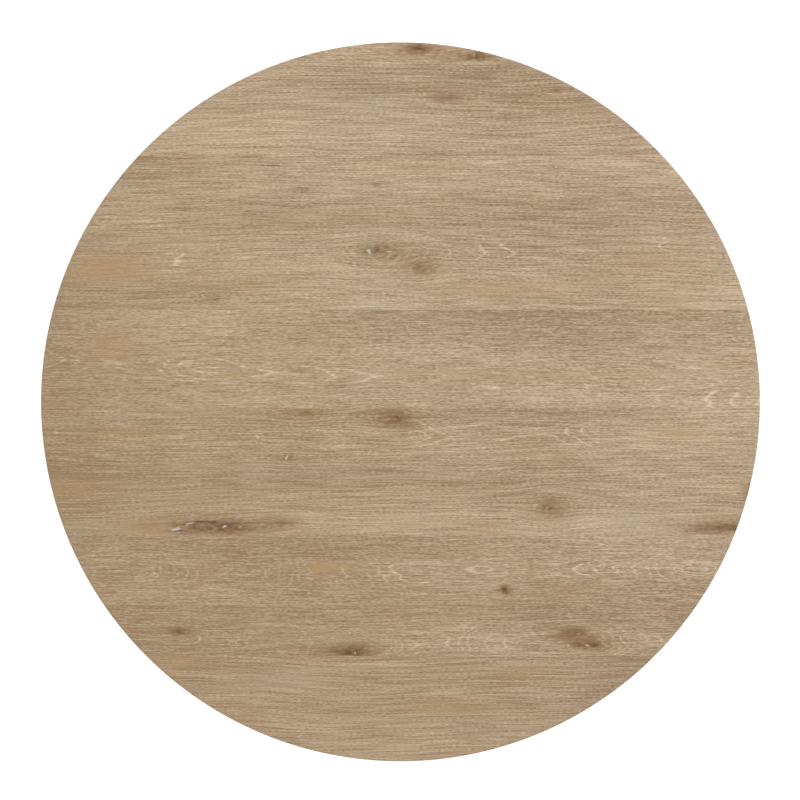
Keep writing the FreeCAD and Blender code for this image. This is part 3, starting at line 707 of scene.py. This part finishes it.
def thread(radius, pitch, bottom, top):
    """Rings of a V thread, which fades out at both ends."""
    depth = pitch * THREAD_DEPTH
    steps = max(4, round((top - bottom) / pitch * THREAD_STEPS))
    rings = []
    for step in range(steps + 1):
        height = bottom + (top - bottom) * step / steps
        runout = min((height - bottom) / THREAD_RUNOUT, (top - height) / THREAD_RUNOUT)
        fade = max(0.0, min(1.0, runout))

        def groove(angle, height=height, fade=fade):
            phase = (height / pitch - angle / (2 * math.pi)) % 1.0
            return radius - depth * fade * (1 - abs(2 * phase - 1))
        rings.append((groove, height))
    return rings


def middle(node):
    """Where a node's upright middle line stands, and its lowest and highest points."""
    low_corner, high_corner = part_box(node)
    place = [(low_corner[axis] + high_corner[axis]) / 2 for axis in (0, 1)]
    return place, low_corner[2], high_corner[2]


def joined(name, pieces):
    """One object made of several."""
    bpy.ops.object.select_all(action="DESELECT")
    for piece in pieces:
        piece.select_set(True)
    bpy.context.view_layer.objects.active = pieces[0]
    bpy.ops.object.join()
    pieces[0].name = name
    return pieces[0]


def stand_for(piece, node, body="root"):
    """Put a piece in a CAD node's place, on the node's body."""
    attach(piece, body)
    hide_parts(node)


def leveller_stud(index):
    """Swivel end, neck, chamfered hexagon and M8 thread."""
    swivel_radius, swivel_height, easing = 0.006, 0.003, 0.0004
    neck_radius = 0.0035
    place, low_end, high_end = middle(f"leveller_stud_{index}")
    swivel_top = low_end + swivel_height
    hex_low = low_end + 0.0072
    hex_high = hex_low + 0.005
    rings = [(swivel_radius - easing, low_end), (swivel_radius, low_end + easing),
             (swivel_radius, swivel_top - easing), (swivel_radius - easing, swivel_top),
             (neck_radius, swivel_top), (neck_radius, hex_low)]
    rings += chamfered_hex(M8_FLATS, hex_low, hex_high)
    rings += [(M8_RADIUS, hex_high), (M8_RADIUS, hex_high + 0.0006)]
    rings += thread(M8_RADIUS, M8_PITCH, hex_high + 0.0007, high_end - 0.001)
    rings += [(M8_RADIUS - 0.001, high_end)]
    piece = turned(f"threaded_stud_{index}", rings, place, ZINC)
    stand_for(piece, f"leveller_stud_{index}", f"leveller_{index}_stud")


def tie_rod():
    """Plain rod with an M12 thread at each end."""
    place, low_end, high_end = middle("tie_rod")
    thread_length, chamfer = 0.040, 0.001
    end_radius = M12_RADIUS - 0.0012
    rings = [(end_radius, low_end)]
    rings += thread(M12_RADIUS, M12_PITCH, low_end + chamfer, low_end + thread_length)
    rings += thread(M12_RADIUS, M12_PITCH, high_end - thread_length, high_end - chamfer)
    rings += [(end_radius, high_end)]
    stand_for(turned("threaded_tie_rod", rings, place, ZINC), "tie_rod")


def tie_rod_nuts():
    """M12 nuts at both ends of the tie rod."""
    place, low_end, high_end = middle("tie_rod_nuts")
    nut_height, bore = 0.010, 0.0061
    pieces = []
    for number, bottom in enumerate((low_end, high_end - nut_height)):
        rings = chamfered_hex(M12_FLATS, bottom, bottom + nut_height)
        pieces.append(bored_piece(f"rod_nut_{number}", bored(rings, bore), place, ZINC))
    stand_for(joined("chamfered_rod_nuts", pieces), "tie_rod_nuts")


def top_bolts():
    """Hexagon-headed M8 bolts up through the bearers."""
    low_corner, high_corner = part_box("top_bolts")
    washer_low, washer_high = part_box("top_washers")
    washer_radius, near_reach = 0.008, 0.150
    far_reach = (washer_high[0] - washer_low[0]) / 2 - washer_radius
    bottom, tip = low_corner[2], high_corner[2]
    head_top = bottom + 0.0053
    thread_length = 0.020
    pieces = []
    for reach in (near_reach, far_reach):
        for place in ((reach, 0), (-reach, 0), (0, reach), (0, -reach)):
            rings = [(0.0052, bottom)]
            rings += chamfered_hex(M8_FLATS, bottom, head_top, chamfer_top=False)
            rings += [(M8_RADIUS, head_top), (M8_RADIUS, tip - thread_length)]
            rings += thread(M8_RADIUS, M8_PITCH, tip - thread_length + 0.0002, tip - 0.0008)
            rings += [(M8_RADIUS - 0.0008, tip)]
            pieces.append(turned(f"top_bolt_{len(pieces)}", rings, place, ZINC))
    stand_for(joined("hexagon_top_bolts", pieces), "top_bolts")


def spider_screws():
    """Countersunk wood screws with a hexagon socket, under the plate."""
    low_corner, high_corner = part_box("spider_screws")
    bottom, tip = low_corner[2], high_corner[2]
    socket, socket_depth, socket_flats = 0.0004, 0.0016, hexagon(0.0035)
    root, point = 0.0016, 0.0002
    pieces = []
    for turn in range(4):
        cosine, sine = round(math.cos(turn * math.pi / 2)), round(math.sin(turn * math.pi / 2))
        for reach in (0.112, 0.144):
            rings = [(socket, bottom + socket_depth), (socket_flats, bottom + socket_depth),
                     (socket_flats, bottom + 0.0001), (0.0042, bottom), (0.0048, bottom + 0.0003),
                     (0.0023, bottom + 0.0026), (0.0020, bottom + 0.004)]
            rings += thread(0.0022, 0.0018, bottom + 0.006, tip - 0.003)
            rings += [(root, tip - 0.003), (point, tip)]
            pieces.append(turned(f"screw_{len(pieces)}", rings, (reach * cosine, reach * sine),
                                 BLACK_STEEL))
    stand_for(joined("socket_spider_screws", pieces), "spider_screws")


for index in range(1, FOOT_COUNT + 1):
    leveller_stud(index)
tie_rod()
tie_rod_nuts()
top_bolts()
spider_screws()


# Floor, light and camera

def make_floor():
    bpy.ops.mesh.primitive_plane_add(size=40.0, location=(0, 0, 0))
    floor = bpy.context.object
    floor.name = "floor"
    material = bpy.data.materials.new("floor")
    material.use_nodes = True
    shader = material.node_tree.nodes["Principled BSDF"]
    shader.inputs["Base Color"].default_value = (0.86, 0.86, 0.86, 1)
    shader.inputs["Roughness"].default_value = 0.9
    shader.inputs["Emission Color"].default_value = (1, 1, 1, 1)
    shader.inputs["Emission Strength"].default_value = 0.45
    floor.data.materials.append(material)


def make_light(name, place, size, power):
    """Square softbox that faces the middle of the table."""
    data = bpy.data.lights.new(name, "AREA")
    data.size = size
    data.energy = power
    lamp = bpy.data.objects.new(name, data)
    lamp.location = place
    aim = Vector((0, 0, TOP_HEIGHT * 0.7)) - Vector(place)
    lamp.rotation_euler = aim.to_track_quat("-Z", "Y").to_euler()
    bpy.context.scene.collection.objects.link(lamp)


def make_world(strength):
    world = bpy.data.worlds.new("studio")
    world.use_nodes = True
    background = world.node_tree.nodes["Background"]
    background.inputs["Color"].default_value = (1, 1, 1, 1)
    background.inputs["Strength"].default_value = strength
    bpy.context.scene.world = world


def make_camera(filled_share, place):
    """Long lens straight down on the top, with the far rim up.

    The top fills a share of the picture's width. Place is the camera's (x, y)."""
    data = bpy.data.cameras.new("camera")
    data.lens = 200.0
    data.sensor_width = 36.0
    data.clip_end = 100.0
    distance = TOP_RADIUS * 2 / filled_share * data.lens / data.sensor_width
    camera = bpy.data.objects.new("camera", data)
    camera.location = (*place, TOP_HEIGHT + distance)
    bpy.context.scene.collection.objects.link(camera)
    bpy.context.scene.camera = camera


make_floor()
make_light("key", place=(2.6, 2.2, 4.2), size=3.0, power=130.0)
make_light("fill", place=(-3.2, -1.5, 3.2), size=3.0, power=30.0)
make_world(strength=0.72)
make_camera(filled_share=0.8992, place=(-0.0009, 0.0030))
bpy.context.scene.view_settings.view_transform = "Standard"
